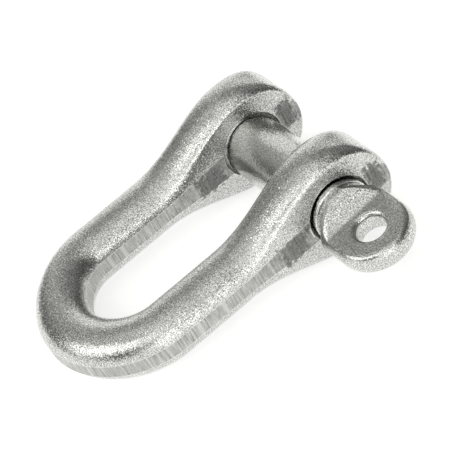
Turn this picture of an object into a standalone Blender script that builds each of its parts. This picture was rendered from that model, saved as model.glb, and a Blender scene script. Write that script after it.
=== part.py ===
# Forged dee shackle with a screw eye pin, lying on its side.
# Metres, +Z up. The shackle is drawn with its pin along X, its bow towards -Y and its
# parting plane level, and is then tipped about the pin until ears and bow both touch Z = 0.

import bisect
import math

import bmesh
import bpy

# Forged body, in its parting plane
INSIDE_WIDTH = 0.0380        # between the ears
BOW_WIDTH = 0.0378           # between the legs where the bow starts
INSIDE_LENGTH = 0.0916       # pin axis to the crown of the bow
BOW_DEPTH = 0.0156           # inner rise of the bow
BAR_WIDTH = 0.0220           # bar across, at the bow
EAR_THICKNESS = 0.0215
EAR_REACH = 0.0243           # pin axis to the tip of an ear
EVEN_RUN = 0.0050            # the ears keep their thickness this far towards the bow
BOW_SQUARENESS = 1.90        # exponent of the bow's outline: 2 is an ellipse

# Forged body, across its parting plane
BAR_HEIGHT = 0.0216
EAR_DIAMETER = 0.0458
EAR_OFFSET = 0.0013          # pin axis to the middle of the ear's disc
NECK_START = 0.0005          # middle of the disc to where the ear starts to narrow
NECK_END = 0.0470            # middle of the disc to where the leg is plain bar
BAR_SQUARENESS = 2.15        # exponent of the section: 2 is round
EAR_DRAFT = math.radians(4.0)
RIM_ROUNDING = 0.0047        # how far the rounding of an ear's rim reaches down its face
RIM_ROUNDING_SHARE = 0.80    # share of the ear's thickness that the rounding takes
TIP_ROUNDING = 0.0014        # the same two at the tip, where the rim's edges are crisp
TIP_ROUNDING_SHARE = 0.30
TIP_CRISP_FROM = 0.85        # share of the reach beyond which the edges are crisp

# Flat left all round the parting line where the flash was sheared off
TRIM_DEPTH = 0.00035

# Eye pin
PIN_DIAMETER = 0.0250
THREAD_DIAMETER = 0.0240
THREAD_CHAMFER = 0.0020
PIN_PROTRUSION = 0.0015      # past the far ear
SHANK_CHAMFER = 0.0008
SHANK_SUNK = 0.0005          # how far the shank's end sits in the far ear's countersink
COLLAR_LENGTH = 0.0015       # plain shank that shows outside the near ear
COLLAR_CHAMFER = 0.0004
EYE_WIDTH = 0.0311
EYE_THICKNESS = 0.0092
EYE_LENGTH = 0.0363          # near ear to the end of the eye
EYE_ROOT_RATIO = 0.95        # thickness over width where the eye grows out of the shank
EYE_ROOT_DEPTH = 0.0030      # how far the eye's solid reaches into the shank
EYE_SHOULDER = 0.0015        # level run before its faces slope down
EYE_SLOPE = 0.0091           # length over which its faces run down to the eye's thickness
EYE_FLARE = 0.0070           # length over which the shank widens into the eye
EYE_FACE_INSET = 0.0016      # outline of the eye to the edge of its flat face
EYE_FLANK_POWER = 1.9        # shape of the flank: 1 is a plain slope
EYE_EDGE = 0.0009            # rounding between face and flank
EYE_HOLE_DIAMETER = 0.0118
EYE_HOLE_ROUNDING = 0.0022
EYE_TURN = math.radians(3.6)

# Running clearances, measured on the radius
BORE_CLEARANCE = 0.0009
THREAD_CLEARANCE = 0.0003
HEAD_CLEARANCE = 0.0003
BORE_CHAMFER = 0.0004
COUNTERSINK = 0.0015         # the same on the threaded hole
CUTTER_OVERRUN = 0.0040      # how far the hole cutters run past the ears

# Resolution
PROFILE_STEPS = 60           # points on a section before it is spaced out
CROWN_POINTS = 8             # points on a quarter of a body section
EAR_TIP_RINGS = 10
NECK_RINGS = 15
LEG_RINGS = 5
BOW_RINGS = 12
TURNED_STEPS = 56
EYE_SIDE_STEPS = 9
EYE_LOBE_STEPS = 22
EYE_LAYERS = 7
HOLE_ROUNDING_STEPS = 6
MERGE = 0.00001

# Sizes that follow from the ones above
BORE_RADIUS = PIN_DIAMETER / 2 + BORE_CLEARANCE
THREAD_HOLE_RADIUS = THREAD_DIAMETER / 2 + THREAD_CLEARANCE
EAR_INNER = INSIDE_WIDTH / 2
EAR_OUTER = INSIDE_WIDTH / 2 + EAR_THICKNESS
BOW_CENTRE = -(INSIDE_LENGTH - BOW_DEPTH)
DISC_REACH = EAR_REACH - EAR_OFFSET
COLLAR_END = EAR_OUTER + COLLAR_LENGTH
EYE_CENTRE = EAR_OUTER + EYE_LENGTH - EYE_WIDTH / 2

MATERIALS = {
    "shackle_body": {"colour": (0.62, 0.63, 0.61, 1.0), "roughness": 0.34},
    "eye_pin": {"colour": (0.64, 0.65, 0.62, 1.0), "roughness": 0.30},
}


def ease(value):
    """Smooth step from 0 to 1."""
    value = min(max(value, 0.0), 1.0)
    return value * value * (3.0 - 2.0 * value)


def power(value, exponent):
    """Signed power, for superellipses."""
    return math.copysign(abs(value) ** exponent, value)


# Forged body

def leg_inner(y):
    """Half the inside width at a distance y along the legs."""
    share = min(max(y / BOW_CENTRE, 0.0), 1.0)
    return EAR_INNER + (BOW_WIDTH / 2 - EAR_INNER) * share * ease(share)


def leg_width(y):
    """Thickness of an ear, or width of the bar, at a distance y along the legs."""
    share = ease((-y - EVEN_RUN) / NECK_END)
    return EAR_THICKNESS + (BAR_WIDTH - EAR_THICKNESS) * share


def half_height(y):
    """Half the height of the forging above the parting plane: ear, neck and bar."""
    radius = EAR_DIAMETER / 2
    place = y - EAR_OFFSET
    if place >= 0:
        return radius * math.sqrt(max(1.0 - (place / DISC_REACH) ** 2, 0.0))
    if place >= -NECK_START:
        return math.sqrt(radius ** 2 - place * place)
    start_height = math.sqrt(radius ** 2 - NECK_START ** 2)
    start_slope = -NECK_START / start_height * (NECK_END - NECK_START)
    end_height = BAR_HEIGHT / 2
    t = (-place - NECK_START) / (NECK_END - NECK_START)
    if t >= 1.0:
        return end_height
    start_share = 2 * t ** 3 - 3 * t ** 2 + 1
    slope_share = t ** 3 - 2 * t ** 2 + t
    return start_share * start_height + slope_share * start_slope + (1 - start_share) * end_height


def spaced(points, count):
    """The same line through count points, evenly spaced along it."""
    points = points[:1] + [point for before, point in zip(points, points[1:]) if point != before]
    lengths = [0.0]
    for first, second in zip(points[:-1], points[1:]):
        lengths.append(lengths[-1] + math.dist(first, second))
    result = []
    for index in range(count):
        wanted = lengths[-1] * index / (count - 1)
        place = min(max(bisect.bisect_left(lengths, wanted), 1), len(points) - 1)
        share = (wanted - lengths[place - 1]) / (lengths[place] - lengths[place - 1])
        first, second = points[place - 1], points[place]
        result.append(tuple(p + (q - p) * share for p, q in zip(first, second)))
    return result


def bar_profile(width, height):
    """Quarter of a bar's section, from the parting plane up to the crown."""
    points = []
    for index in range(PROFILE_STEPS):
        angle = math.pi / 2 * index / (PROFILE_STEPS - 1)
        across = width / 2 * power(math.cos(angle), 2.0 / BAR_SQUARENESS)
        up = height * power(math.sin(angle), 2.0 / BAR_SQUARENESS)
        points.append((across, up))
    return points


def ear_profile(width, height, tip):
    """Quarter of an ear's section: a drafted face, the rounding of the rim and its flat.

    tip is how far the section lies from the pin towards the end of the ear, as a share."""
    radius = EAR_DIAMETER / 2
    crisp = ease(tip / TIP_CRISP_FROM)
    rounding = RIM_ROUNDING + (TIP_ROUNDING - RIM_ROUNDING) * crisp
    rounding_share = RIM_ROUNDING_SHARE + (TIP_ROUNDING_SHARE - RIM_ROUNDING_SHARE) * crisp
    flat = width / 2 * (1.0 - rounding_share)
    lowest = min(max(1.0 - (1.0 - tip) * radius / rounding, 0.0), 1.0)
    last_angle = math.acos(lowest)
    arc = []
    for index in range(PROFILE_STEPS):
        angle = last_angle * (1.0 - index / (PROFILE_STEPS - 1))
        drop = rounding * (1.0 - math.cos(angle))
        across = flat + (width / 2 - flat) * math.sin(angle)
        if tip > 0.0:
            up = radius * math.sqrt(max((1.0 - drop / radius) ** 2 - tip ** 2, 0.0))
        else:
            up = height - drop
        arc.append((across, up))
    points = [(arc[0][0], 0.0)] + arc + [(0.0, arc[-1][1])]
    return [(max(across - up * math.tan(EAR_DRAFT), 0.0), up) for across, up in points]


def sheared(points):
    """The profile with its widest part cut off upright, as the trimming die leaves it."""
    limit = max(points[0][0] - TRIM_DEPTH, points[0][0] / 2)
    for index in range(1, len(points)):
        if points[index][0] < limit:
            break
    first, second = points[index - 1], points[index]
    share = (first[0] - limit) / (first[0] - second[0])
    return [(limit, first[1] + (second[1] - first[1]) * share)] + points[index:]


def section(width, height, ear_share, tip):
    """Points (across, up) round a whole section, from bar (0) to ear (1)."""
    bar = spaced(bar_profile(width, height), PROFILE_STEPS)
    if ear_share > 0.0:
        ear = spaced(ear_profile(width, height, tip), PROFILE_STEPS)
        bar = [(p + (u - p) * ear_share, q + (v - q) * ear_share) for (p, q), (u, v) in zip(bar, ear)]
    quarter = spaced(sheared(bar), CROWN_POINTS)
    upper = quarter + [(-across, up) for across, up in reversed(quarter[:-1])]
    return upper + [(across, -up) for across, up in reversed(upper)]


def bow_point(angle):
    """Point on the bar's centre line round the bow, 0 at the leg and -90 degrees at the crown."""
    half_width = BOW_WIDTH / 2 + BAR_WIDTH / 2
    depth = BOW_DEPTH + BAR_WIDTH / 2
    exponent = 2.0 / BOW_SQUARENESS
    x = half_width * power(math.cos(angle), exponent)
    return x, BOW_CENTRE + depth * power(math.sin(angle), exponent)


def bow_normal(angle):
    """Outward direction across the bar at that point."""
    half_width = BOW_WIDTH / 2 + BAR_WIDTH / 2
    depth = BOW_DEPTH + BAR_WIDTH / 2
    exponent = 2.0 - 2.0 / BOW_SQUARENESS
    x = power(math.cos(angle), exponent) / half_width
    y = power(math.sin(angle), exponent) / depth
    length = math.hypot(x, y)
    return x / length, y / length


def body_rings():
    """Rings of points from the tip of the near ear, down its leg, to the middle of the bow."""
    turn = math.acos((DISC_REACH - TRIM_DEPTH) / DISC_REACH)
    stations = []
    for index in range(EAR_TIP_RINGS):
        angle = turn + (math.pi / 2 - turn) * index / EAR_TIP_RINGS
        stations.append(EAR_OFFSET + DISC_REACH * math.cos(angle))
    neck_length = NECK_END + EAR_OFFSET
    stations += [EAR_OFFSET - neck_length * index / NECK_RINGS for index in range(NECK_RINGS)]
    leg_length = -BOW_CENTRE - NECK_END
    stations += [-NECK_END - leg_length * index / LEG_RINGS for index in range(LEG_RINGS)]

    rings = []
    for y in stations:
        place = y - EAR_OFFSET
        share = ease((place + NECK_END) / (NECK_END - NECK_START))
        width = leg_width(y)
        points = section(width, half_height(y), share, max(place, 0.0) / DISC_REACH)
        centre = leg_inner(y) + width / 2
        rings.append([(centre + across, y, up) for across, up in points])

    points = section(BAR_WIDTH, BAR_HEIGHT / 2, 0.0, 0.0)
    for index in range(BOW_RINGS + 1):
        angle = -math.pi / 2 * index / BOW_RINGS
        x, y = bow_point(angle)
        normal_x, normal_y = bow_normal(angle)
        ring = [(x + across * normal_x, y + across * normal_y, up) for across, up in points]
        if index == BOW_RINGS:
            ring = [(0.0, ring_y, ring_z) for _, ring_y, ring_z in ring]
        rings.append(ring)
    return rings


def loft(mesh, rings, close_first, close_last):
    """Skin rings of equal length with quads."""
    skin = bmesh.new()
    loops = [[skin.verts.new(point) for point in ring] for ring in rings]
    for first, second in zip(loops[:-1], loops[1:]):
        for index in range(len(first)):
            after = (index + 1) % len(first)
            skin.faces.new((first[index], first[after], second[after], second[index]))
    if close_first:
        skin.faces.new(list(reversed(loops[0])))
    if close_last:
        skin.faces.new(loops[-1])
    bmesh.ops.remove_doubles(skin, verts=skin.verts, dist=MERGE)
    bmesh.ops.recalc_face_normals(skin, faces=skin.faces)
    skin.to_mesh(mesh)
    skin.free()


def make_body(collection, pivot):
    """One forging: half of it is skinned and mirrored across the middle of the bow."""
    mesh = bpy.data.meshes.new("shackle_body")
    loft(mesh, body_rings(), close_first=True, close_last=False)
    body = bpy.data.objects.new("shackle_body", mesh)
    collection.objects.link(body)
    body.parent = pivot
    mirror = body.modifiers.new("both_legs", "MIRROR")
    mirror.use_axis = (True, False, False)
    mirror.merge_threshold = MERGE
    return body


# Turned shapes

def turned(name, profile, collection, pivot):
    """A profile of (along X, radius) points turned about the pin axis."""
    mesh = bpy.data.meshes.new(name)
    line = bmesh.new()
    points = [line.verts.new((radius, 0.0, along)) for along, radius in reversed(profile)]
    for first, second in zip(points[:-1], points[1:]):
        line.edges.new((first, second))
    line.to_mesh(mesh)
    line.free()
    shape = bpy.data.objects.new(name, mesh)
    collection.objects.link(shape)
    shape.parent = pivot
    shape.rotation_euler = (0.0, math.pi / 2, 0.0)
    screw = shape.modifiers.new("turn", "SCREW")
    screw.steps = TURNED_STEPS
    screw.render_steps = TURNED_STEPS
    screw.use_merge_vertices = True
    screw.merge_threshold = MERGE
    return shape


def hide_cutter(shape):
    shape.hide_render = True
    shape.display_type = "WIRE"


def bore_profile(side, radius, chamfer):
    """Profile of one ear's hole, with a chamfer at each face."""
    inner = EAR_INNER + TRIM_DEPTH
    outer = EAR_OUTER - TRIM_DEPTH
    flare = radius + chamfer + CUTTER_OVERRUN
    profile = [
        (inner - CUTTER_OVERRUN, 0.0),
        (inner - CUTTER_OVERRUN, flare),
        (inner + chamfer, radius),
        (outer - chamfer, radius),
        (outer + CUTTER_OVERRUN, flare),
        (outer + CUTTER_OVERRUN, 0.0),
    ]
    if side < 0:
        profile = [(-along, size) for along, size in reversed(profile)]
    return profile


def cut(target, cutter, name):
    hide_cutter(cutter)
    boolean = target.modifiers.new(name, "BOOLEAN")
    boolean.operation = "DIFFERENCE"
    boolean.solver = "EXACT"
    boolean.object = cutter


# Eye pin

def pin_profile():
    """Shank and threaded end, from the far tip to the collar outside the near ear."""
    tip = -(EAR_OUTER + PIN_PROTRUSION)
    shank_end = -(EAR_INNER + TRIM_DEPTH + SHANK_SUNK)
    thread_radius = THREAD_DIAMETER / 2
    shank_radius = PIN_DIAMETER / 2
    return [
        (tip, 0.0),
        (tip, thread_radius - THREAD_CHAMFER),
        (tip + THREAD_CHAMFER, thread_radius),
        (shank_end, thread_radius),
        (shank_end, shank_radius - SHANK_CHAMFER),
        (shank_end + SHANK_CHAMFER, shank_radius),
        (COLLAR_END - COLLAR_CHAMFER, shank_radius),
        (COLLAR_END, shank_radius - COLLAR_CHAMFER),
        (COLLAR_END, 0.0),
    ]


def eye_root():
    """Half width, half thickness and inset of the eye where it grows out of the shank."""
    width = PIN_DIAMETER / 2 - COLLAR_CHAMFER - HEAD_CLEARANCE
    height = width * EYE_ROOT_RATIO
    return width, height, width - math.sqrt(width ** 2 - height ** 2)


def eye_section(x):
    """Half width, half thickness and inset of the eye's section at x."""
    width, height, inset = eye_root()
    widening = ease((x - COLLAR_END) / EYE_FLARE)
    thinning = ease((x - COLLAR_END - EYE_SHOULDER) / EYE_SLOPE)
    width += (EYE_WIDTH / 2 - width) * widening
    height += (EYE_THICKNESS / 2 - height) * thinning
    inset += (EYE_FACE_INSET - inset) * thinning
    return width, height, inset


def eye_ring(outline, level, edge, closed):
    """One layer of the eye at a level from -1 to 1, or its spine where it is closed."""
    ring = []
    for x, across, spine in outline:
        width, height, inset = eye_section(spine)
        share = 1.0 - (inset * abs(level) ** EYE_FLANK_POWER + edge) / width
        if closed:
            share = 0.0
        ring.append((spine + (x - spine) * share, across * share, level * height))
    return ring


def make_eye(collection, pivot):
    """The flattened head, skinned in layers from its lower face to its upper face."""
    start = COLLAR_END - EYE_ROOT_DEPTH
    lobe = EYE_WIDTH / 2
    outline = []
    for index in range(EYE_SIDE_STEPS):
        x = start + (EYE_CENTRE - start) * index / (EYE_SIDE_STEPS - 1)
        outline.append((x, eye_section(x)[0], x))
    for index in range(1, EYE_LOBE_STEPS):
        angle = math.pi / 2 - math.pi * index / EYE_LOBE_STEPS
        outline.append((EYE_CENTRE + lobe * math.cos(angle), lobe * math.sin(angle), EYE_CENTRE))
    outline += [(x, -across, spine) for x, across, spine in reversed(outline[:EYE_SIDE_STEPS])]

    flank_end = 1.0 - EYE_EDGE / (EYE_THICKNESS / 2)
    rings = [eye_ring(outline, -1.0, EYE_EDGE, True), eye_ring(outline, -1.0, EYE_EDGE, False)]
    for index in range(EYE_LAYERS):
        rings.append(eye_ring(outline, flank_end * (2 * index / (EYE_LAYERS - 1) - 1), 0.0, False))
    rings += [eye_ring(outline, 1.0, EYE_EDGE, False), eye_ring(outline, 1.0, EYE_EDGE, True)]
    mesh = bpy.data.meshes.new("eye")
    skin = bmesh.new()
    loops = [[skin.verts.new(point) for point in ring] for ring in rings]
    for first, second in zip(loops[:-1], loops[1:]):
        for index in range(len(first) - 1):
            skin.faces.new((first[index], second[index], second[index + 1], first[index + 1]))
    bmesh.ops.remove_doubles(skin, verts=skin.verts, dist=MERGE)
    open_edges = [edge for edge in skin.edges if edge.is_boundary]
    bmesh.ops.contextual_create(skin, geom=open_edges)
    bmesh.ops.recalc_face_normals(skin, faces=skin.faces)
    skin.to_mesh(mesh)
    skin.free()
    eye = bpy.data.objects.new("eye", mesh)
    collection.objects.link(eye)
    eye.parent = pivot
    eye.rotation_euler = (EYE_TURN, 0.0, 0.0)
    return eye


def make_eye_hole(collection, pivot):
    """Cutter for the eye's hole: a spool whose ends round the rim over."""
    radius = EYE_HOLE_DIAMETER / 2
    rounding = EYE_HOLE_ROUNDING
    face = EYE_THICKNESS / 2
    upper = []
    for index in range(HOLE_ROUNDING_STEPS + 1):
        angle = math.pi / 2 * index / HOLE_ROUNDING_STEPS
        upper.append((radius + rounding - rounding * math.cos(angle),
                      face - rounding + rounding * math.sin(angle)))
    upper.append((radius + rounding * 2, face + rounding))
    upper.append((0.0, face + rounding))
    lower = [(size, -level) for size, level in reversed(upper)]
    mesh = bpy.data.meshes.new("eye_hole_cutter")
    line = bmesh.new()
    points = [line.verts.new((size, 0.0, level)) for size, level in reversed(lower + upper)]
    for first, second in zip(points[:-1], points[1:]):
        line.edges.new((first, second))
    line.to_mesh(mesh)
    line.free()
    shape = bpy.data.objects.new("eye_hole_cutter", mesh)
    collection.objects.link(shape)
    shape.parent = pivot
    shape.location = (EYE_CENTRE, 0.0, 0.0)
    shape.rotation_euler = (EYE_TURN, 0.0, 0.0)
    screw = shape.modifiers.new("turn", "SCREW")
    screw.steps = TURNED_STEPS
    screw.render_steps = TURNED_STEPS
    screw.use_merge_vertices = True
    screw.merge_threshold = MERGE
    return shape


def make_pin(collection, cutters, pivot):
    pin = turned("eye_pin", pin_profile(), collection, pivot)
    eye = make_eye(cutters, pivot)
    hide_cutter(eye)
    join = pin.modifiers.new("forged_eye", "BOOLEAN")
    join.operation = "UNION"
    join.solver = "EXACT"
    join.object = eye
    cut(pin, make_eye_hole(cutters, pivot), "eye_hole")
    return pin


# Placing and finish

def lying_angle():
    """Tilt at which the ears and the crown of the bow touch the same plane."""
    crown = INSIDE_LENGTH + BAR_WIDTH / 2
    low, high = 0.0, math.pi / 4
    for _ in range(50):
        middle = (low + high) / 2
        bar = math.hypot(BAR_WIDTH / 2 * math.sin(middle), BAR_HEIGHT / 2 * math.cos(middle))
        if (crown + EAR_OFFSET) * math.sin(middle) + bar < EAR_DIAMETER / 2:
            low = middle
        else:
            high = middle
    return low


def give_material(shape):
    values = MATERIALS[shape.name]
    material = bpy.data.materials.new(shape.name)
    material.use_nodes = True
    shader = material.node_tree.nodes["Principled BSDF"]
    shader.inputs["Base Color"].default_value = values["colour"]
    shader.inputs["Metallic"].default_value = 1.0
    shader.inputs["Roughness"].default_value = values["roughness"]
    shape.data.materials.append(material)
    shape.data.shade_smooth()


def settle(pivot, shapes):
    """Move the pivot so that the lowest point is at Z = 0 under the middle of the shackle."""
    bpy.context.view_layer.update()
    depsgraph = bpy.context.evaluated_depsgraph_get()
    corners = []
    for shape in shapes:
        evaluated = shape.evaluated_get(depsgraph)
        mesh = evaluated.to_mesh()
        corners += [evaluated.matrix_world @ vertex.co for vertex in mesh.vertices]
        evaluated.to_mesh_clear()
    for axis in (0, 1):
        values = [corner[axis] for corner in corners]
        pivot.location[axis] -= (min(values) + max(values)) / 2
    pivot.location[2] -= min(corner[2] for corner in corners)
    bpy.context.view_layer.update()


def main():
    for item in list(bpy.data.objects):
        bpy.data.objects.remove(item, do_unlink=True)
    collection = bpy.data.collections.new("shackle")
    cutters = bpy.data.collections.new("cutters")
    bpy.context.scene.collection.children.link(collection)
    bpy.context.scene.collection.children.link(cutters)

    pivot = bpy.data.objects.new("pin_axis", None)
    collection.objects.link(pivot)
    pivot.rotation_euler = (lying_angle(), 0.0, 0.0)

    body = make_body(collection, pivot)
    near_profile = bore_profile(1, BORE_RADIUS, BORE_CHAMFER)
    far_profile = bore_profile(-1, THREAD_HOLE_RADIUS, COUNTERSINK)
    near = turned("near_bore_cutter", near_profile, cutters, pivot)
    far = turned("far_bore_cutter", far_profile, cutters, pivot)
    cut(body, near, "near_bore")
    cut(body, far, "far_bore")
    pin = make_pin(collection, cutters, pivot)
    for shape in (body, pin):
        give_material(shape)
    settle(pivot, (body, pin))


main()
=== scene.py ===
# Looks of a forged dee shackle with a screw eye pin, bright zinc plated, lying on its side.
# Metres, +Z up, in the frame of the CAD model. The forging and the pin are drawn again with the
# CAD model's sizes and formulas, in finer steps, and take the places of its two nodes.

import bisect
import math

import bmesh
import bpy
from mathutils import Matrix, Vector


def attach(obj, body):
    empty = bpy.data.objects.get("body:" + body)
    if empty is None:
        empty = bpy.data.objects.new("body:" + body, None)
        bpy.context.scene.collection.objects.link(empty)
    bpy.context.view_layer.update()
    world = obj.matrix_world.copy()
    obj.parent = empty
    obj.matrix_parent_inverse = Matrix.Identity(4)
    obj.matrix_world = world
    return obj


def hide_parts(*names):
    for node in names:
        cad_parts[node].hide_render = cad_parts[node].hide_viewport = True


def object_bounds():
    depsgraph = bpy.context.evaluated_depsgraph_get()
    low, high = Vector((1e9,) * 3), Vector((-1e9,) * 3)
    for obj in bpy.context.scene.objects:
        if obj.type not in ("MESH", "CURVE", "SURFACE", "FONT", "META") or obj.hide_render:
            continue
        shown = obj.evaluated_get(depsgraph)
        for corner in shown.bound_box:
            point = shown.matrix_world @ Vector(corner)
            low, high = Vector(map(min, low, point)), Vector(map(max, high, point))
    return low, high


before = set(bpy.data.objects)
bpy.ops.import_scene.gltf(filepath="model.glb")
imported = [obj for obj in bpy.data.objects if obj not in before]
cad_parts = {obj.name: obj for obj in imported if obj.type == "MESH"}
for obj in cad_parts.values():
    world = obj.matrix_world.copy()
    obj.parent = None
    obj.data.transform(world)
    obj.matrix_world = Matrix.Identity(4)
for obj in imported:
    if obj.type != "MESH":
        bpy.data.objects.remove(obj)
cad_low, cad_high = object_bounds()

# Forged body, in its parting plane
INSIDE_WIDTH = 0.0380        # between the ears
BOW_WIDTH = 0.0378           # between the legs where the bow starts
INSIDE_LENGTH = 0.0916       # pin axis to the crown of the bow
BOW_DEPTH = 0.0156           # inner rise of the bow
BAR_WIDTH = 0.0220           # bar across, at the bow
EAR_THICKNESS = 0.0215
EAR_REACH = 0.0243           # pin axis to the tip of an ear
EVEN_RUN = 0.0050            # the ears keep their thickness this far towards the bow
BOW_SQUARENESS = 1.90        # exponent of the bow's outline: 2 is an ellipse

# Forged body, across its parting plane
BAR_HEIGHT = 0.0216
EAR_DIAMETER = 0.0458
EAR_OFFSET = 0.0013          # pin axis to the middle of the ear's disc
NECK_START = 0.0005          # middle of the disc to where the ear starts to narrow
NECK_END = 0.0470            # middle of the disc to where the leg is plain bar
BAR_SQUARENESS = 2.15        # exponent of the section: 2 is round
EAR_DRAFT = math.radians(4.0)
RIM_ROUNDING = 0.0047        # how far the rounding of an ear's rim reaches down its face
RIM_ROUNDING_SHARE = 0.80    # share of the ear's thickness that the rounding takes
TIP_ROUNDING = 0.0014        # the same two at the tip, where the rim's edges are crisp
TIP_ROUNDING_SHARE = 0.30
TIP_CRISP_FROM = 0.85        # share of the reach beyond which the edges are crisp

# Flat left all round the parting line where the flash was sheared off
TRIM_DEPTH = 0.00035

# Eye pin
PIN_DIAMETER = 0.0250
THREAD_DIAMETER = 0.0240
THREAD_CHAMFER = 0.0020
PIN_PROTRUSION = 0.0015      # past the far ear
SHANK_CHAMFER = 0.0008
SHANK_SUNK = 0.0005          # how far the shank's end sits in the far ear's countersink
COLLAR_LENGTH = 0.0015       # plain shank that shows outside the near ear
COLLAR_CHAMFER = 0.0004
EYE_WIDTH = 0.0311
EYE_THICKNESS = 0.0092
EYE_LENGTH = 0.0363          # near ear to the end of the eye
EYE_ROOT_RATIO = 0.95        # thickness over width where the eye grows out of the shank
EYE_ROOT_DEPTH = 0.0030      # how far the eye's solid reaches into the shank
EYE_SHOULDER = 0.0015        # level run before its faces slope down
EYE_SLOPE = 0.0091           # length over which its faces run down to the eye's thickness
EYE_FLARE = 0.0070           # length over which the shank widens into the eye
EYE_FACE_INSET = 0.0016      # outline of the eye to the edge of its flat face
EYE_FLANK_POWER = 1.9        # shape of the flank: 1 is a plain slope
EYE_EDGE = 0.0009            # rounding between face and flank
EYE_HOLE_DIAMETER = 0.0118
EYE_HOLE_ROUNDING = 0.0022
EYE_TURN = math.radians(3.6)

# Running clearances, measured on the radius
BORE_CLEARANCE = 0.0009
THREAD_CLEARANCE = 0.0003
HEAD_CLEARANCE = 0.0003
BORE_CHAMFER = 0.0004
COUNTERSINK = 0.0015         # the same on the threaded hole
CUTTER_OVERRUN = 0.0040      # how far the hole cutters run past the ears

# Where the pin's axis lies, and how far the shackle tips about it
PIVOT = Vector((-0.0174, 0.044293, 0.022792))
TILT = math.radians(6.6862)

# Steps of the finer meshes, and the thread and the edges that they alone show
PROFILE_STEPS = 240
CROWN_POINTS = 34
LIP_STEP = 0.00030           # width of the lip along the trimmed flat
LIP_FINENESS = 12            # how much finer the first step above the lip is
LIP_MARK = 0.6               # how far the lip's edge counts as flat; this middle value also places the painted highlight along the lip
EAR_TIP_RINGS = 48
RING_STEP = 0.0008
TURNED_STEPS = 160
THREAD_AROUND = 120
THREAD_STEP = 0.00022
THREAD_PITCH = 0.0030
THREAD_DEPTH = 0.0016
THREAD_STEEPNESS = 1.35      # of its flanks, which leaves a flat crest
THREAD_ROOT = 0.15           # share of its height that the flat root takes off
SHANK_EDGE = 0.00025         # width of the softened edges of the shank's chamfer
EYE_SIDE_STEPS = 44
EYE_LOBE_STEPS = 72
EYE_LAYERS = 25
EYE_FACE_STEPS = 10
EYE_BEVEL_SHARE = 0.35       # where between face and flank the bevel's middle line runs
HOLE_ROUNDING_STEPS = 12
COLLAR_STEPS = 6
MERGE = 0.000002             # points closer than this are one
SHARP_FROM = math.radians(40.0)

# Camera, seen from the shackle's own axes: the pin along X, the bow towards -Y
CAMERA_TARGET = Vector((0.0, -0.035, 0.0))
CAMERA_AZIMUTH = math.radians(-76.72)
CAMERA_ELEVATION = math.radians(41.35)
CAMERA_ROLL = math.radians(-31.01)
CAMERA_DISTANCE = 0.72418
CAMERA_OFFSET = (-0.00495, -0.00114)
FOCAL_PIXELS = 1903.9
FRAME_PIXELS = 450
SENSOR_WIDTH = 36.0

# Finish of the zinc: scales are per metre, heights in metres, and limits are the two values
# between which a pattern goes from 0 to 1
GRAIN_SCALE = 2300.0
GRAIN_LIMITS = (0.32, 0.68)
GRAIN_HEIGHT = 0.00003
PIN_GRAIN_SHARE = 0.6        # share of that height on the shank
SPECK_LIMITS = (0.05, 0.95)  # of the grain, for its colour
FACET_SCALE = 2900.0
FACET_TILT = 0.7             # how far the steepest crystals lean
PIN_FACET_SHARE = 0.7        # share of that lean on the pin
CLOUD_SCALE = 90.0
CLOUD_LIMITS = (0.45, 0.70)
CLOUD_SHARE = 0.35
WAVE_SCALE = 160.0
WAVE_HEIGHT = 0.00008
STRIPE_SCALE = 1400.0
STRIPE_STRETCH = 0.06        # how fast the stripes change across the flat
STRIPE_LIMITS = (0.35, 0.65)
STRIPE_HEIGHT = 0.00006
LEDGE_SCALE = 330.0
LEDGE_LIMITS = (0.56, 0.62)
FLAT_SHARE = 0.75            # how far the flat's own tones cover those of the skin
# Painted highlight along the lip at the edge of the trimmed flat: the band where it shows, and how
# far it goes towards ZINC_LIGHT
LIP_HIGHLIGHT_LIMITS = (0.05, 0.20)
LIP_HIGHLIGHT_SHARE = 0.6
PATCH_EDGE_SCALE = 600.0
PATCH_EDGE_WEIGHT = 1.6      # how far the noise frays the edge of a torn patch
PATCH_LIMITS = (1.20, 1.45)
TURNING_SCALE = 2600.0
TURNING_HEIGHT = 0.00002
SHANK_FADE = 0.001           # length over which the turned finish ends at the eye
FORGED_ROUGHNESS = 0.09
FLAT_ROUGHNESS = 0.28
EYE_ROUGHNESS = 0.10
SHANK_ROUGHNESS = 0.12
TORN_ROUGHER = 0.15          # added to the roughness where the flat is torn
ZINC_DARK = (0.24, 0.243, 0.238, 1.0)
ZINC_LIGHT = (0.87, 0.875, 0.852, 1.0)
ZINC_DULL = (0.40, 0.404, 0.392, 1.0)
ZINC_FLAT_DARK = (0.20, 0.203, 0.196, 1.0)
ZINC_FLAT_LIGHT = (0.56, 0.565, 0.543, 1.0)
ZINC_TURNED_DARK = (0.38, 0.384, 0.372, 1.0)
ZINC_TURNED_LIGHT = (0.87, 0.875, 0.852, 1.0)
ZINC_TORN = (0.045, 0.046, 0.045, 1.0)
ZINC_TORN_LIGHT = (0.34, 0.34, 0.33, 1.0)
WHITE = (1.0, 1.0, 1.0, 1.0)

# Torn flat beside the holes, by the distance from the pin's axis and the height above the
# parting plane, first on the side of the bow and then on that of the tip
TORN_BOW = (0.0165, 0.0285, -0.0055, 0.0040)
TORN_TIP = (0.0140, 0.0208, -0.0045, 0.0080)
TORN_FADE = 0.0030
TORN_FACING = (0.90, 0.96)   # how squarely a face looks across the flat to be torn
TORN_STRIPE_SHARE = 0.4      # share of the stripes in its tone, the rest is grain
DULL_END = 0.0480            # where the duller flat beyond it ends
DULL_EDGE_LIMITS = (0.35, 0.65)
DULL_SHARES = (0.2, 0.7)     # least and most that it is duller

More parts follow.
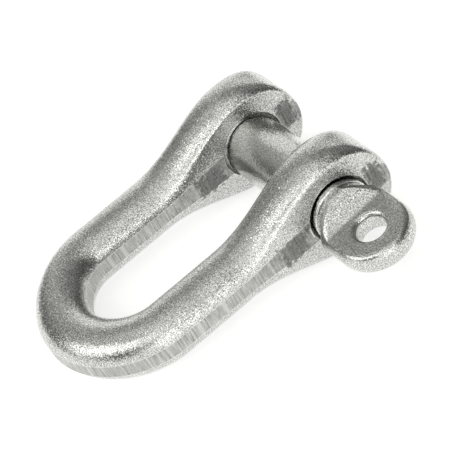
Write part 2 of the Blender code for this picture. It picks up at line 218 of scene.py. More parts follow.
# Studio: azimuth from +Y towards +X and elevation of each panel in degrees, the angles from
# its middle at which it is full and gone, and its strength
STUDIO_GREY = 0.15
STUDIO_BLUE = 0.97           # blue of the light over its red and green
PANELS = (
    (-170.0, 30.0, 12.0, 28.0, 1.90),
    (160.0, 45.0, 5.0, 17.0, 1.80),
    (134.0, 43.0, 4.0, 17.0, 1.20),
    (96.0, 24.0, 8.0, 24.0, 1.45),
    (92.0, 2.0, 8.0, 24.0, 1.20),
    (90.0, 52.0, 8.0, 24.0, 0.52),
    (-105.0, 48.0, 14.0, 40.0, 0.24),
    (-128.0, 64.0, 6.0, 20.0, 0.40),
    (-30.0, 45.0, 12.0, 34.0, 0.13),
    (122.0, 6.0, 10.0, 26.0, 0.90),
    (120.0, 68.0, 12.0, 34.0, 0.60),
    (0.0, 90.0, 8.0, 26.0, 0.35),
    (-70.0, 14.0, 16.0, 28.0, 0.95),
)
FLOOR_SIZE = 3.0             # from the middle to each side
FLOOR_COLOUR = (0.80, 0.80, 0.79, 1.0)
FLOOR_GLOW = 0.60

# Sizes that follow from the ones above
BORE_RADIUS = PIN_DIAMETER / 2 + BORE_CLEARANCE
THREAD_HOLE_RADIUS = THREAD_DIAMETER / 2 + THREAD_CLEARANCE
EAR_INNER = INSIDE_WIDTH / 2
EAR_OUTER = INSIDE_WIDTH / 2 + EAR_THICKNESS
BOW_CENTRE = -(INSIDE_LENGTH - BOW_DEPTH)
BOW_ACROSS = BOW_WIDTH / 2 + BAR_WIDTH / 2
BOW_ALONG = BOW_DEPTH + BAR_WIDTH / 2
SHANK_END = -(EAR_INNER + TRIM_DEPTH + SHANK_SUNK)
DISC_REACH = EAR_REACH - EAR_OFFSET
COLLAR_END = EAR_OUTER + COLLAR_LENGTH
EYE_CENTRE = EAR_OUTER + EYE_LENGTH - EYE_WIDTH / 2


def ease(value):
    """Smooth step from 0 to 1."""
    value = min(max(value, 0.0), 1.0)
    return value * value * (3.0 - 2.0 * value)


def power(value, exponent):
    """Signed power, for superellipses."""
    return math.copysign(abs(value) ** exponent, value)


def to_shared_frame():
    """Matrix from the shackle's own axes to the shared frame, where it lies on its side."""
    return Matrix.Translation(PIVOT) @ Matrix.Rotation(TILT, 4, "X")


# Forged body

def leg_inner(y):
    """Half the inside width at a distance y along the legs."""
    share = min(max(y / BOW_CENTRE, 0.0), 1.0)
    return EAR_INNER + (BOW_WIDTH / 2 - EAR_INNER) * share * ease(share)


def leg_width(y):
    """Thickness of an ear, or width of the bar, at a distance y along the legs."""
    share = ease((-y - EVEN_RUN) / NECK_END)
    return EAR_THICKNESS + (BAR_WIDTH - EAR_THICKNESS) * share


def half_height(y):
    """Half the height of the forging above the parting plane: ear, neck and bar."""
    radius = EAR_DIAMETER / 2
    place = y - EAR_OFFSET
    if place >= 0:
        return radius * math.sqrt(max(1.0 - (place / DISC_REACH) ** 2, 0.0))
    if place >= -NECK_START:
        return math.sqrt(radius ** 2 - place * place)
    start_height = math.sqrt(radius ** 2 - NECK_START ** 2)
    start_slope = -NECK_START / start_height * (NECK_END - NECK_START)
    end_height = BAR_HEIGHT / 2
    t = (-place - NECK_START) / (NECK_END - NECK_START)
    if t >= 1.0:
        return end_height
    start_share = 2 * t ** 3 - 3 * t ** 2 + 1
    slope_share = t ** 3 - 2 * t ** 2 + t
    return start_share * start_height + slope_share * start_slope + (1 - start_share) * end_height


def spaced(points, count):
    """The same line through count points, evenly spaced along it."""
    points = points[:1] + [point for before, point in zip(points, points[1:]) if point != before]
    lengths = [0.0]
    for first, second in zip(points[:-1], points[1:]):
        lengths.append(lengths[-1] + math.dist(first, second))
    result = []
    for index in range(count):
        wanted = lengths[-1] * index / (count - 1)
        place = min(max(bisect.bisect_left(lengths, wanted), 1), len(points) - 1)
        share = (wanted - lengths[place - 1]) / (lengths[place] - lengths[place - 1])
        first, second = points[place - 1], points[place]
        result.append(tuple(p + (q - p) * share for p, q in zip(first, second)))
    return result


def bar_profile(width, height):
    """Quarter of a bar's section, from the parting plane up to the crown."""
    points = []
    for index in range(PROFILE_STEPS):
        angle = math.pi / 2 * index / (PROFILE_STEPS - 1)
        across = width / 2 * power(math.cos(angle), 2.0 / BAR_SQUARENESS)
        up = height * power(math.sin(angle), 2.0 / BAR_SQUARENESS)
        points.append((across, up))
    return points


def ear_profile(width, height, tip):
    """Quarter of an ear's section: a drafted face, the rounding of the rim and its flat."""
    radius = EAR_DIAMETER / 2
    crisp = ease(tip / TIP_CRISP_FROM)
    rounding = RIM_ROUNDING + (TIP_ROUNDING - RIM_ROUNDING) * crisp
    rounding_share = RIM_ROUNDING_SHARE + (TIP_ROUNDING_SHARE - RIM_ROUNDING_SHARE) * crisp
    flat = width / 2 * (1.0 - rounding_share)
    lowest = min(max(1.0 - (1.0 - tip) * radius / rounding, 0.0), 1.0)
    last_angle = math.acos(lowest)
    arc = []
    for index in range(PROFILE_STEPS):
        angle = last_angle * (1.0 - index / (PROFILE_STEPS - 1))
        drop = rounding * (1.0 - math.cos(angle))
        across = flat + (width / 2 - flat) * math.sin(angle)
        if tip > 0.0:
            up = radius * math.sqrt(max((1.0 - drop / radius) ** 2 - tip ** 2, 0.0))
        else:
            up = height - drop
        arc.append((across, up))
    points = [(arc[0][0], 0.0)] + arc + [(0.0, arc[-1][1])]
    return [(max(across - up * math.tan(EAR_DRAFT), 0.0), up) for across, up in points]


def sheared(points):
    """The profile with its widest part cut off upright, as the trimming die leaves it."""
    limit = max(points[0][0] - TRIM_DEPTH, points[0][0] / 2)
    for index in range(1, len(points)):
        if points[index][0] < limit:
            break
    first, second = points[index - 1], points[index]
    share = (first[0] - limit) / (first[0] - second[0])
    return [(limit, first[1] + (second[1] - first[1]) * share)] + points[index:]


def quarter_section(width, height, ear_share, tip):
    """Quarter of a section with the trimmed flat, and which of its points lie on the flat."""
    bar = spaced(bar_profile(width, height), PROFILE_STEPS)
    if ear_share > 0.0:
        ear = spaced(ear_profile(width, height, tip), PROFILE_STEPS)
        bar = [
            (p + (u - p) * ear_share, q + (v - q) * ear_share)
            for (p, q), (u, v) in zip(bar, ear)
        ]
    cut = sheared(bar)
    limit, flat_top = cut[0]
    step = min(LIP_STEP, flat_top / 3)
    flat = [(limit, 0.0), (limit, flat_top / 2), (limit, flat_top - step)]
    skin = spaced(cut, CROWN_POINTS)
    near = spaced(cut, CROWN_POINTS * LIP_FINENESS)[1]
    marks = [1.0] * len(flat) + [LIP_MARK] + [0.0] * CROWN_POINTS
    return flat + [skin[0], near] + skin[1:], marks


def ring_section(width, height, ear_share, tip):
    """Points (across, up) and flat marks round a whole section."""
    quarter, marks = quarter_section(width, height, ear_share, tip)
    points = quarter + [(-across, up) for across, up in reversed(quarter[:-1])]
    flags = marks + list(reversed(marks[:-1]))
    lower = [(across, -up) for across, up in reversed(points[1:-1])]
    return points + lower, flags + list(reversed(flags[1:-1]))


def bow_point(angle):
    """Point on the bar's centre line round the bow, 0 at the leg and -90 degrees at the crown."""
    exponent = 2.0 / BOW_SQUARENESS
    x = BOW_ACROSS * power(math.cos(angle), exponent)
    return x, BOW_CENTRE + BOW_ALONG * power(math.sin(angle), exponent)


def bow_normal(angle):
    """Outward direction across the bar at that point."""
    exponent = 2.0 - 2.0 / BOW_SQUARENESS
    x = power(math.cos(angle), exponent) / BOW_ACROSS
    y = power(math.sin(angle), exponent) / BOW_ALONG
    length = math.hypot(x, y)
    return x / length, y / length


def stations(start, end, step):
    """Evenly spaced values from start to end, without the end."""
    count = max(int(round(abs(end - start) / step)), 1)
    return [start + (end - start) * index / count for index in range(count)]


def half_rings():
    """Rings from the tip of the near ear to the middle of the bow, with flat marks and lengths."""
    turn = math.acos((DISC_REACH - TRIM_DEPTH) / DISC_REACH)
    places = []
    for index in range(EAR_TIP_RINGS):
        angle = turn + (math.pi / 2 - turn) * index / EAR_TIP_RINGS
        places.append(EAR_OFFSET + DISC_REACH * math.cos(angle))
    places += stations(EAR_OFFSET, BOW_CENTRE, RING_STEP)
    rings = []
    for y in places:
        place = y - EAR_OFFSET
        share = ease((place + NECK_END) / (NECK_END - NECK_START))
        width = leg_width(y)
        points, flags = ring_section(width, half_height(y), share, max(place, 0.0) / DISC_REACH)
        centre = leg_inner(y) + width / 2
        rings.append(([(centre + across, y, up) for across, up in points], flags, -y))

    points, flags = ring_section(BAR_WIDTH, BAR_HEIGHT / 2, 0.0, 0.0)
    bow_radius = (BOW_ACROSS + BOW_ALONG) / 2
    count = int(math.pi / 2 * (bow_radius + BAR_WIDTH / 2) / RING_STEP)
    for index in range(count + 1):
        angle = -math.pi / 2 * index / count
        x, y = bow_point(angle)
        normal_x, normal_y = bow_normal(angle)
        ring = [(x + across * normal_x, y + across * normal_y, up) for across, up in points]
        rings.append((ring, flags, -BOW_CENTRE - angle * bow_radius))
    return rings


def add_values(mesh, name, values):
    """A number kept at each vertex, for the materials."""
    attribute = mesh.attributes.new(name, "FLOAT", "POINT")
    attribute.data.foreach_set("value", values)


def make_forging():
    """The forging, swept from one ear through the bow to the other, with its two holes."""
    half = half_rings()
    total = 2 * half[-1][2]
    rings = half + [([(-x, y, z) for x, y, z in ring], flags, total - along)
                    for ring, flags, along in reversed(half[:-1])]
    count = len(rings[0][0])
    points = [point for ring, flags, along in rings for point in ring]
    faces = []
    for index in range(len(rings) - 1):
        first, second = index * count, (index + 1) * count
        for place in range(count):
            after = (place + 1) % count
            faces.append((first + place, second + place, second + after, first + after))
    last = (len(rings) - 1) * count
    faces.append(tuple(range(count)))
    faces.append(tuple(last + place for place in reversed(range(count))))
    mesh = bpy.data.meshes.new("forging")
    mesh.from_pydata(points, [], faces)
    fix_normals(mesh, merge=False)
    lengths = [along for ring, flags, along in rings for place in ring]
    add_values(mesh, "trim", [flag for ring, flags, along in rings for flag in flags])
    add_values(mesh, "along", lengths)
    add_values(mesh, "reach", [min(along, total - along) for along in lengths])
    add_values(mesh, "up", [z for x, y, z in points])
    forging = add_object("forging", mesh)
    for cutter in (turned("near_cutter", bore_profile()), threaded_cutter()):
        combine(forging, cutter, "DIFFERENCE")
    return forging


# Turned and joined shapes

def add_object(name, data):
    made = bpy.data.objects.new(name, data)
    bpy.context.scene.collection.objects.link(made)
    return made


def turned(name, profile):
    """A profile of (along X, radius) points turned about the pin axis, as a closed mesh."""
    points = []
    for along, radius in profile:
        if radius == 0.0:
            points.append((along, 0.0, 0.0))
            continue
        for step in range(TURNED_STEPS):
            angle = 2 * math.pi * step / TURNED_STEPS
            points.append((along, radius * math.cos(angle), radius * math.sin(angle)))
    faces = []
    start = 0
    for (_, radius), (_, after) in zip(profile[:-1], profile[1:]):
        for step in range(TURNED_STEPS):
            turn = (step + 1) % TURNED_STEPS
            if radius == 0.0:
                faces.append((start, start + 1 + turn, start + 1 + step))
            elif after == 0.0:
                faces.append((start + step, start + turn, start + TURNED_STEPS))
            else:
                second = start + TURNED_STEPS
                faces.append((start + step, start + turn, second + turn, second + step))
        start += 1 if radius == 0.0 else TURNED_STEPS
    mesh = bpy.data.meshes.new(name)
    mesh.from_pydata(points, [], faces)
    fix_normals(mesh)
    return add_object(name, mesh)


def fix_normals(mesh, merge=True):
    """Turn every face outwards, after points in the same place are merged."""
    skin = bmesh.new()
    skin.from_mesh(mesh)
    if merge:
        bmesh.ops.remove_doubles(skin, verts=skin.verts, dist=MERGE)
    bmesh.ops.recalc_face_normals(skin, faces=skin.faces)
    skin.to_mesh(mesh)
    skin.free()


def combine(target, other, operation):
    """Cut other from target, or join the two, and remove other."""
    boolean = target.modifiers.new("boolean", "BOOLEAN")
    boolean.operation = operation
    boolean.solver = "EXACT"
    boolean.object = other
    depsgraph = bpy.context.evaluated_depsgraph_get()
    result = bpy.data.meshes.new_from_object(target.evaluated_get(depsgraph))
    target.modifiers.clear()
    target.data = result
    bpy.data.objects.remove(other)


def bore_profile():
    """Profile of the near ear's plain hole, with a chamfer at each face."""
    inner = EAR_INNER + TRIM_DEPTH
    outer = EAR_OUTER - TRIM_DEPTH
    flare = BORE_RADIUS + BORE_CHAMFER + CUTTER_OVERRUN
    return [
        (inner - CUTTER_OVERRUN, 0.0),
        (inner - CUTTER_OVERRUN, flare),
        (inner + BORE_CHAMFER, BORE_RADIUS),
        (outer - BORE_CHAMFER, BORE_RADIUS),
        (outer + CUTTER_OVERRUN, flare),
        (outer + CUTTER_OVERRUN, 0.0),
    ]


# Eye pin

def shank_profile():
    """Plain shank from where the thread begins to the collar outside the near ear."""
    radius = PIN_DIAMETER / 2
    relief = THREAD_DIAMETER / 2 - THREAD_DEPTH
    rounding = COLLAR_CHAMFER + HEAD_CLEARANCE
    profile = [
        (SHANK_END - THREAD_PITCH / 2, 0.0),
        (SHANK_END - THREAD_PITCH / 2, relief),
        (SHANK_END, relief),
        (SHANK_END, radius - SHANK_CHAMFER),
        (SHANK_END + SHANK_EDGE / 3, radius - SHANK_CHAMFER + SHANK_EDGE / 3),
        (SHANK_END + SHANK_CHAMFER - SHANK_EDGE / 2, radius - SHANK_EDGE / 2),
        (SHANK_END + SHANK_CHAMFER, radius - SHANK_EDGE / 4),
        (SHANK_END + SHANK_CHAMFER + SHANK_EDGE, radius),
    ]
    for index in range(COLLAR_STEPS + 1):
        angle = math.pi / 2 * index / COLLAR_STEPS
        x = COLLAR_END - rounding * (1.0 - math.sin(angle))
        profile.append((x, radius - rounding * (1.0 - math.cos(angle))))
    return profile + [(COLLAR_END, 0.0)]


def thread_share(x, angle):
    """Height of the right-handed thread at a place, from 0 at its root to 1 at its crest."""
    turn = (x / THREAD_PITCH - angle / (2 * math.pi)) % 1.0
    return min(max(abs(2.0 * turn - 1.0) * THREAD_STEEPNESS - THREAD_ROOT, 0.0), 1.0)


def wound(name, start, end, radius_at):
    """Closed mesh about the pin axis whose radius changes along it and round it."""
    rows = int((end - start) / THREAD_STEP)
    points = []
    for row in range(rows + 1):
        x = start + (end - start) * row / rows
        for step in range(THREAD_AROUND):
            angle = 2 * math.pi * step / THREAD_AROUND
            radius = radius_at(x, angle)
            points.append((x, radius * math.cos(angle), radius * math.sin(angle)))
    faces = [tuple(reversed(range(THREAD_AROUND)))]
    for row in range(rows):
        first, second = row * THREAD_AROUND, (row + 1) * THREAD_AROUND
        for step in range(THREAD_AROUND):
            after = (step + 1) % THREAD_AROUND
            faces.append((first + step, first + after, second + after, second + step))
    faces.append(tuple(rows * THREAD_AROUND + step for step in range(THREAD_AROUND)))
    mesh = bpy.data.meshes.new(name)
    mesh.from_pydata(points, [], faces)
    fix_normals(mesh)
    return add_object(name, mesh)


def make_thread():
    """Screw thread at the pin's far end, with a chamfered tip and a runout to the shank."""
    tip = -(EAR_OUTER + PIN_PROTRUSION)
    end = SHANK_END - THREAD_PITCH / 4
    crest = THREAD_DIAMETER / 2

    def radius_at(x, angle):
        runout = ease((end - x) / THREAD_PITCH)
        chamfer = crest - THREAD_CHAMFER + min(x - tip, THREAD_CHAMFER)
        return min(crest - THREAD_DEPTH * (1.0 - thread_share(x, angle) * runout), chamfer)

    return wound("thread", tip, end, radius_at)


def threaded_cutter():
    """Cutter for the far ear's hole: the same thread with its clearance, and two countersinks."""
    outer = -(EAR_OUTER - TRIM_DEPTH)
    inner = -(EAR_INNER + TRIM_DEPTH)
    start, end = outer - CUTTER_OVERRUN, inner + CUTTER_OVERRUN

    def radius_at(x, angle):
        groove = THREAD_HOLE_RADIUS - THREAD_DEPTH * (1.0 - thread_share(x, angle))
        depth = min(x - outer, inner - x)
        return max(groove, THREAD_HOLE_RADIUS + COUNTERSINK - depth)

    return wound("threaded_cutter", start, end, radius_at)


def eye_root():
    """Half width, half thickness and inset of the eye where it grows out of the shank."""
    width = PIN_DIAMETER / 2 - COLLAR_CHAMFER - HEAD_CLEARANCE
    height = width * EYE_ROOT_RATIO
    return width, height, width - math.sqrt(width ** 2 - height ** 2)


def eye_section(x):
    """Half width, half thickness and inset of the eye's section at x."""
    width, height, inset = eye_root()
    widening = ease((x - COLLAR_END) / EYE_FLARE)
    thinning = ease((x - COLLAR_END - EYE_SHOULDER) / EYE_SLOPE)
    width += (EYE_WIDTH / 2 - width) * widening
    height += (EYE_THICKNESS / 2 - height) * thinning
    inset += (EYE_FACE_INSET - inset) * thinning
    return width, height, inset


def eye_ring(outline, level, edge, face_share):
    """One layer of the eye at a level from -1 to 1; face_share runs from its edge to its spine."""
    ring = []
    for x, across, spine in outline:
        width, height, inset = eye_section(spine)
        share = (1.0 - (inset * abs(level) ** EYE_FLANK_POWER + edge) / width) * face_share
        ring.append((spine + (x - spine) * share, across * share, level * height))
    return ring


def make_eye():
    """The flattened head, skinned in layers from its lower face to its upper face."""
    start = COLLAR_END - EYE_ROOT_DEPTH
    lobe = EYE_WIDTH / 2
    outline = []
    for index in range(EYE_SIDE_STEPS):
        x = start + (EYE_CENTRE - start) * index / (EYE_SIDE_STEPS - 1)
        outline.append((x, eye_section(x)[0], x))
    for index in range(1, EYE_LOBE_STEPS):
        angle = math.pi / 2 - math.pi * index / EYE_LOBE_STEPS
        outline.append((EYE_CENTRE + lobe * math.cos(angle), lobe * math.sin(angle), EYE_CENTRE))
    outline += [(x, -across, spine) for x, across, spine in reversed(outline[:EYE_SIDE_STEPS])]

    flank_end = 1.0 - EYE_EDGE / (EYE_THICKNESS / 2)
    face = [(1.0, EYE_EDGE, 1.0 - index / EYE_FACE_STEPS) for index in range(EYE_FACE_STEPS + 1)]
    bevel = [(1.0 - (1.0 - flank_end) * EYE_BEVEL_SHARE, EYE_EDGE * EYE_BEVEL_SHARE, 1.0)]
    shares = [1.0 - 2 * index / (EYE_LAYERS - 1) for index in range(EYE_LAYERS)]
    flank = [(flank_end * share, 0.0, 1.0) for share in shares]
    upper = list(reversed(face)) + bevel
    layers = upper + flank + [(-level, edge, share) for level, edge, share in reversed(upper)]
    rings = [eye_ring(outline, *layer) for layer in layers]
    count = len(outline)
    points = [point for ring in rings for point in ring]
    faces = []
    for layer in range(len(rings) - 1):
        for index in range(count - 1):
            first, second = layer * count + index, (layer + 1) * count + index
            faces.append((first, second, second + 1, first + 1))
    mesh = bpy.data.meshes.new("eye")
    mesh.from_pydata(points, [], faces)
    skin = bmesh.new()
    skin.from_mesh(mesh)
    bmesh.ops.remove_doubles(skin, verts=skin.verts, dist=MERGE)
    bmesh.ops.dissolve_degenerate(skin, edges=skin.edges, dist=MERGE)
    open_edges = [edge for edge in skin.edges if edge.is_boundary]
    bmesh.ops.contextual_create(skin, geom=open_edges)
    bmesh.ops.recalc_face_normals(skin, faces=skin.faces)
    skin.to_mesh(mesh)
    skin.free()
    mesh.transform(Matrix.Rotation(EYE_TURN, 4, "X"))
    return add_object("eye", mesh)


def make_eye_hole():
    """Cutter for the eye's hole: a spool whose ends round the rim over."""
    radius = EYE_HOLE_DIAMETER / 2
    rounding = EYE_HOLE_ROUNDING
    face = EYE_THICKNESS / 2
    upper = []
    for index in range(HOLE_ROUNDING_STEPS + 1):
        angle = math.pi / 2 * index / HOLE_ROUNDING_STEPS
        upper.append((face - rounding + rounding * math.sin(angle),
                      radius + rounding - rounding * math.cos(angle)))
    upper.append((face + rounding, radius + rounding * 2))
    upper.append((face + rounding, 0.0))
    lower = [(-level, size) for level, size in reversed(upper)]
    cutter = turned("eye_hole_cutter", lower + upper)
    upright = Matrix.Rotation(-math.pi / 2, 4, "Y")
    place = Matrix.Rotation(EYE_TURN, 4, "X") @ Matrix.Translation((EYE_CENTRE, 0.0, 0.0))
    cutter.data.transform(place @ upright)
    return cutter


def make_pin():
    """The pin as one piece: shank and collar, the drilled eye and the threaded end."""
    pin = turned("screw_pin", shank_profile())
    combine(pin, make_eye(), "UNION")
    combine(pin, make_eye_hole(), "DIFFERENCE")
    thread = make_thread()
    joined = bmesh.new()
    joined.from_mesh(pin.data)
    joined.from_mesh(thread.data)
    joined.to_mesh(pin.data)
    joined.free()
    bpy.data.objects.remove(thread)
    return pin


# Placing and camera

def place_piece(piece, node, body):
    """Set a piece in the shared frame, inside the CAD model's box, in the place of its node."""
    piece.data.transform(to_shared_frame())
    for vertex in piece.data.vertices:
        for axis in range(3):
            vertex.co[axis] = min(max(vertex.co[axis], cad_low[axis]), cad_high[axis])
    piece.data.shade_smooth()
    piece.data.set_sharp_from_angle(angle=SHARP_FROM)
    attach(piece, body)
    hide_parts(node)


def make_camera():
    """Camera with the photograph's view, its middle moved aside by the offset."""
    azimuth, elevation, roll = CAMERA_AZIMUTH, CAMERA_ELEVATION, CAMERA_ROLL
    right = Vector((math.cos(azimuth), -math.sin(azimuth), 0.0))
    away = Vector((math.sin(azimuth), math.cos(azimuth), 0.0))
    rise = Vector((0.0, 0.0, 1.0))
    forward = away * math.cos(elevation) - rise * math.sin(elevation)
    down = -(away * math.sin(elevation) + rise * math.cos(elevation))
    turned_right = right * math.cos(roll) - down * math.sin(roll)
    turned_down = right * math.sin(roll) + down * math.cos(roll)
    place = (CAMERA_TARGET - turned_right * CAMERA_OFFSET[0] - turned_down * CAMERA_OFFSET[1]
             - forward * CAMERA_DISTANCE)
    axes = Matrix((turned_right, -turned_down, -forward)).transposed()
    data = bpy.data.cameras.new("camera")
    data.sensor_width = SENSOR_WIDTH
    data.lens = FOCAL_PIXELS / FRAME_PIXELS * SENSOR_WIDTH
    camera = add_object("camera", data)
    camera.matrix_world = to_shared_frame() @ Matrix.Translation(place) @ axes.to_4x4()
    bpy.context.scene.camera = camera


# Materials

def new_material(name):
    material = bpy.data.materials.new(name)
    material.use_nodes = True
    tree = material.node_tree
    return material, tree, tree.nodes["Principled BSDF"]


def node(tree, kind, inputs=None, **settings):
    """A node with its settings, and its inputs given as constants or as other nodes' outputs."""
    made = tree.nodes.new(kind)
    for key, value in settings.items():
        setattr(made, key, value)
    for key, value in (inputs or {}).items():
        if isinstance(value, bpy.types.NodeSocket):
            tree.links.new(value, made.inputs[key])
        else:
            made.inputs[key].default_value = value
    return made


def noise(tree, place, scale, detail=2.0, roughness=0.5):
    inputs = {"Vector": place, "Scale": scale, "Detail": detail, "Roughness": roughness}
    return node(tree, "ShaderNodeTexNoise", inputs).outputs["Fac"]


def remap(tree, value, low, high, to_low=0.0, to_high=1.0):
    made = node(tree, "ShaderNodeMapRange", {
        "Value": value, "From Min": low, "From Max": high, "To Min": to_low, "To Max": to_high})
    return made.outputs["Result"]


def maths(tree, operation, first, second=0.0):
    made = node(tree, "ShaderNodeMath", {0: first, 1: second}, operation=operation)
    return made.outputs["Value"]


def vectors(tree, operation, inputs, output="Vector"):
    return node(tree, "ShaderNodeVectorMath", inputs, operation=operation).outputs[output]


def blend(tree, factor, first, second):
    """Mix of two colours."""
    made = node(tree, "ShaderNodeMix", data_type="RGBA")
    pairs = ((made.inputs[0], factor), (made.inputs[6], first), (made.inputs[7], second))
    for socket, value in pairs:
        if isinstance(value, bpy.types.NodeSocket):
            tree.links.new(value, socket)
        else:
            socket.default_value = value
    return made.outputs[2]


def value_of(tree, name):
    return node(tree, "ShaderNodeAttribute", attribute_name=name).outputs["Fac"]


def bump(tree, height, distance, normal=None):
    """Normals disturbed by a height from 0 to 1 that stands for a distance in metres."""
    inputs = {"Height": height, "Strength": 1.0, "Distance": distance}
    if normal is not None:
        inputs["Normal"] = normal
    return node(tree, "ShaderNodeBump", inputs).outputs["Normal"]


def grain(tree, place):
    """Crystalline grain of the zinc as a height from 0 to 1."""
    return remap(tree, noise(tree, place, GRAIN_SCALE, roughness=0.6), *GRAIN_LIMITS)


def zinc_colour(tree, place, speck):
    """Bright zinc, a little darker in its hollows and in faint large patches."""
    cloud = noise(tree, place, CLOUD_SCALE, detail=3.0, roughness=0.6)
    cloud = remap(tree, cloud, *CLOUD_LIMITS, 0.0, CLOUD_SHARE)
    colour = blend(tree, remap(tree, speck, *SPECK_LIMITS), ZINC_DARK, ZINC_LIGHT)
    return blend(tree, cloud, colour, ZINC_DULL)


def crystals(tree, place, normal, tilt):
    """Normals leaned over by each crystal of the zinc, a few of them far, so that they glint."""
    cells = node(tree, "ShaderNodeTexVoronoi", {"Vector": place, "Scale": FACET_SCALE})
    lean = vectors(tree, "SUBTRACT", {0: cells.outputs["Color"], 1: (0.5, 0.5, 0.5)})
    size = vectors(tree, "DOT_PRODUCT", {0: lean, 1: lean}, "Value")
    lean = vectors(tree, "SCALE", {0: lean, 3: maths(tree, "MULTIPLY", size, tilt)})
    return vectors(tree, "NORMALIZE", {0: vectors(tree, "ADD", {0: normal, 1: lean})})


def within(tree, value, low, high):
    """1 between low and high, falling to 0 over the fade outside them."""
    rise = remap(tree, value, low - TORN_FADE, low + TORN_FADE)
    fall = remap(tree, value, high + TORN_FADE, high - TORN_FADE)
    return maths(tree, "MINIMUM", rise, fall)


def torn_share(tree, reach, up):
    """How torn the trimmed flat is beside the holes, from 0 to 1."""
    sides = []
    for distance, limits in ((reach, TORN_BOW), (maths(tree, "MULTIPLY", reach, -1.0), TORN_TIP)):
        along = within(tree, distance, limits[0], limits[1])
        sides.append(maths(tree, "MINIMUM", along, within(tree, up, limits[2], limits[3])))
    return maths(tree, "MAXIMUM", *sides)


def forged_zinc():
    """Zinc on a forged skin, with the flash's sheared flat striped and darker by the holes, and a
    painted highlight along the lip at the flat's edge.
    """
    material, tree, shader = new_material("forged_zinc")
    place = node(tree, "ShaderNodeTexCoord").outputs["Object"]
    speck = grain(tree, place)
    trim = value_of(tree, "trim")
    reach = value_of(tree, "reach")
    up = value_of(tree, "up")
    facing = node(tree, "ShaderNodeTexCoord").outputs["Normal"]
    facing = node(tree, "ShaderNodeSeparateXYZ", {"Vector": facing}).outputs["X"]
    facing = remap(tree, maths(tree, "ABSOLUTE", facing), *TORN_FACING)
    patch = maths(tree, "MULTIPLY", torn_share(tree, reach, up), facing)
    dull = maths(tree, "MULTIPLY", remap(tree, reach, DULL_END, TORN_BOW[1]), trim)
    across = maths(tree, "MULTIPLY", up, STRIPE_STRETCH)
    stripe_place = node(tree, "ShaderNodeCombineXYZ", {"X": value_of(tree, "along"), "Z": across})
    stripe_place = stripe_place.outputs["Vector"]
    stripes = noise(tree, stripe_place, STRIPE_SCALE, roughness=0.6)
    ledges = noise(tree, stripe_place, LEDGE_SCALE, detail=1.0)
    stripes = maths(tree, "MAXIMUM", remap(tree, stripes, *STRIPE_LIMITS),
                    remap(tree, ledges, *LEDGE_LIMITS))
    edge = noise(tree, place, PATCH_EDGE_SCALE, detail=3.0, roughness=0.6)
    frayed = maths(tree, "ADD", patch, maths(tree, "MULTIPLY", edge, PATCH_EDGE_WEIGHT))
    dark = remap(tree, frayed, *PATCH_LIMITS)
    dull = maths(tree, "MULTIPLY", dull, remap(tree, edge, *DULL_EDGE_LIMITS, *DULL_SHARES))

    colour = zinc_colour(tree, place, speck)
    flat_colour = blend(tree, stripes, ZINC_FLAT_DARK, ZINC_FLAT_LIGHT)
    colour = blend(tree, maths(tree, "MULTIPLY", trim, FLAT_SHARE), colour, flat_colour)
    torn_light = maths(tree, "ADD", maths(tree, "MULTIPLY", stripes, TORN_STRIPE_SHARE),
                       maths(tree, "MULTIPLY", speck, 1.0 - TORN_STRIPE_SHARE))
    torn_colour = blend(tree, torn_light, ZINC_TORN, ZINC_TORN_LIGHT)
    colour = blend(tree, dull, colour, torn_colour)
    # Painted highlight: a thin band along the lip, where the flat turns into the skin, is
    # lightened towards ZINC_LIGHT
    lip_highlight = maths(tree, "MULTIPLY", trim, maths(tree, "SUBTRACT", 1.0, trim))
    colour = blend(tree, remap(tree, lip_highlight, *LIP_HIGHLIGHT_LIMITS, 0.0, LIP_HIGHLIGHT_SHARE), colour, ZINC_LIGHT)
    colour = blend(tree, dark, colour, torn_colour)
    tree.links.new(colour, shader.inputs["Base Color"])
    shader.inputs["Metallic"].default_value = 1.0
    roughness = remap(tree, trim, 0.0, 1.0, FORGED_ROUGHNESS, FLAT_ROUGHNESS)
    roughness = maths(tree, "ADD", roughness, maths(tree, "MULTIPLY", dark, TORN_ROUGHER))
    tree.links.new(roughness, shader.inputs["Roughness"])

    waves = bump(tree, noise(tree, place, WAVE_SCALE, detail=1.0), WAVE_HEIGHT)
    normal = bump(tree, speck, GRAIN_HEIGHT, waves)
    ribs = maths(tree, "MULTIPLY", stripes, trim)
    normal = bump(tree, ribs, STRIPE_HEIGHT, normal)
    tree.links.new(crystals(tree, place, normal, FACET_TILT), shader.inputs["Normal"])
    return material


def pin_zinc():
    """The same zinc, finer on the turned shank, with faint tool lines round it."""
    material, tree, shader = new_material("pin_zinc")
    place = node(tree, "ShaderNodeTexCoord").outputs["Object"]
    speck = grain(tree, place)
    across = node(tree, "ShaderNodeSeparateXYZ", {"Vector": place}).outputs["X"]
    line_place = node(tree, "ShaderNodeCombineXYZ", {"X": across}).outputs["Vector"]
    lines = noise(tree, line_place, TURNING_SCALE, roughness=0.7)
    shank_end = PIVOT.x + COLLAR_END
    shank = remap(tree, across, shank_end, shank_end + SHANK_FADE, 1.0, 0.0)
    turned_colour = blend(tree, speck, ZINC_TURNED_DARK, ZINC_TURNED_LIGHT)
    colour = blend(tree, shank, zinc_colour(tree, place, speck), turned_colour)
    tree.links.new(colour, shader.inputs["Base Color"])
    shader.inputs["Metallic"].default_value = 1.0
    roughness = remap(tree, shank, 0.0, 1.0, EYE_ROUGHNESS, SHANK_ROUGHNESS)
    tree.links.new(roughness, shader.inputs["Roughness"])
    turned_lines = bump(tree, maths(tree, "MULTIPLY", lines, shank), TURNING_HEIGHT)
    height = remap(tree, shank, 0.0, 1.0, GRAIN_HEIGHT, GRAIN_HEIGHT * PIN_GRAIN_SHARE)
    normal = bump(tree, speck, height, turned_lines)
    leant = crystals(tree, place, normal, FACET_TILT * PIN_FACET_SHARE)
    tree.links.new(leant, shader.inputs["Normal"])
    return material


# Light and floor

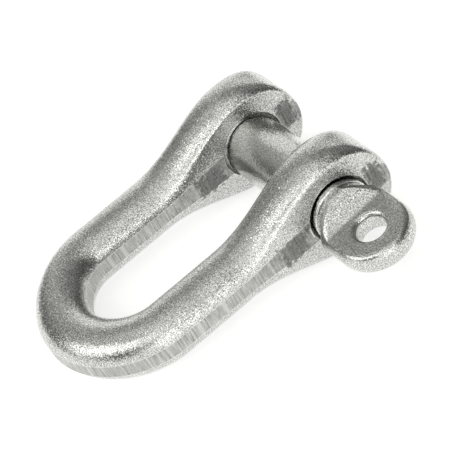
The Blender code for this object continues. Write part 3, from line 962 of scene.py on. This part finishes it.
def add_panel(tree, direction, light, azimuth, elevation, full, gone, strength):
    """One soft panel of light in the studio, added to the light so far."""
    azimuth, elevation = math.radians(azimuth), math.radians(elevation)
    centre = Vector((math.sin(azimuth) * math.cos(elevation),
                     math.cos(azimuth) * math.cos(elevation), math.sin(elevation)))
    share = node(tree, "ShaderNodeMapRange", {
        "Value": vectors(tree, "DOT_PRODUCT", {0: direction, 1: centre}, "Value"),
        "From Min": math.cos(math.radians(gone)),
        "From Max": math.cos(math.radians(full)),
        "To Max": strength}, interpolation_type="SMOOTHSTEP")
    return maths(tree, "ADD", light, share.outputs["Result"])


def make_world():
    """A grey studio with large soft panels round the shackle."""
    world = bpy.data.worlds.new("studio")
    bpy.context.scene.world = world
    world.use_nodes = True
    tree = world.node_tree
    direction = node(tree, "ShaderNodeTexCoord").outputs["Generated"]
    light = STUDIO_GREY
    for panel in PANELS:
        light = add_panel(tree, direction, light, *panel)
    shown = node(tree, "ShaderNodeCombineColor", {
        "Red": light, "Green": light, "Blue": maths(tree, "MULTIPLY", light, STUDIO_BLUE)})
    background = tree.nodes["Background"]
    tree.links.new(shown.outputs["Color"], background.inputs["Color"])


def make_floor():
    """White floor that keeps the shackle's shadow and looks white to the camera and the metal."""
    mesh = bpy.data.meshes.new("floor")
    corners = [(-FLOOR_SIZE, -FLOOR_SIZE, 0.0), (FLOOR_SIZE, -FLOOR_SIZE, 0.0),
               (FLOOR_SIZE, FLOOR_SIZE, 0.0), (-FLOOR_SIZE, FLOOR_SIZE, 0.0)]
    mesh.from_pydata(corners, [], [(0, 1, 2, 3)])
    floor = add_object("floor", mesh)
    material, tree, shader = new_material("floor")
    shader.inputs["Base Color"].default_value = FLOOR_COLOUR
    shader.inputs["Roughness"].default_value = 1.0
    shader.inputs["Specular IOR Level"].default_value = 0.0
    path = node(tree, "ShaderNodeLightPath")
    seen = maths(tree, "MAXIMUM", path.outputs["Is Camera Ray"], path.outputs["Is Glossy Ray"])
    seen = maths(tree, "MAXIMUM", seen, path.outputs["Is Transmission Ray"])
    shader.inputs["Emission Color"].default_value = WHITE
    tree.links.new(maths(tree, "MULTIPLY", seen, FLOOR_GLOW), shader.inputs["Emission Strength"])
    mesh.materials.append(material)


make_camera()
make_world()
make_floor()
bpy.context.scene.view_settings.view_transform = "Standard"

forging = make_forging()
pin = make_pin()
for piece, material in ((forging, forged_zinc()), (pin, pin_zinc())):
    piece.data.materials.clear()
    piece.data.materials.append(material)
place_piece(forging, "shackle_body", "shackle")
place_piece(pin, "eye_pin", "pin")
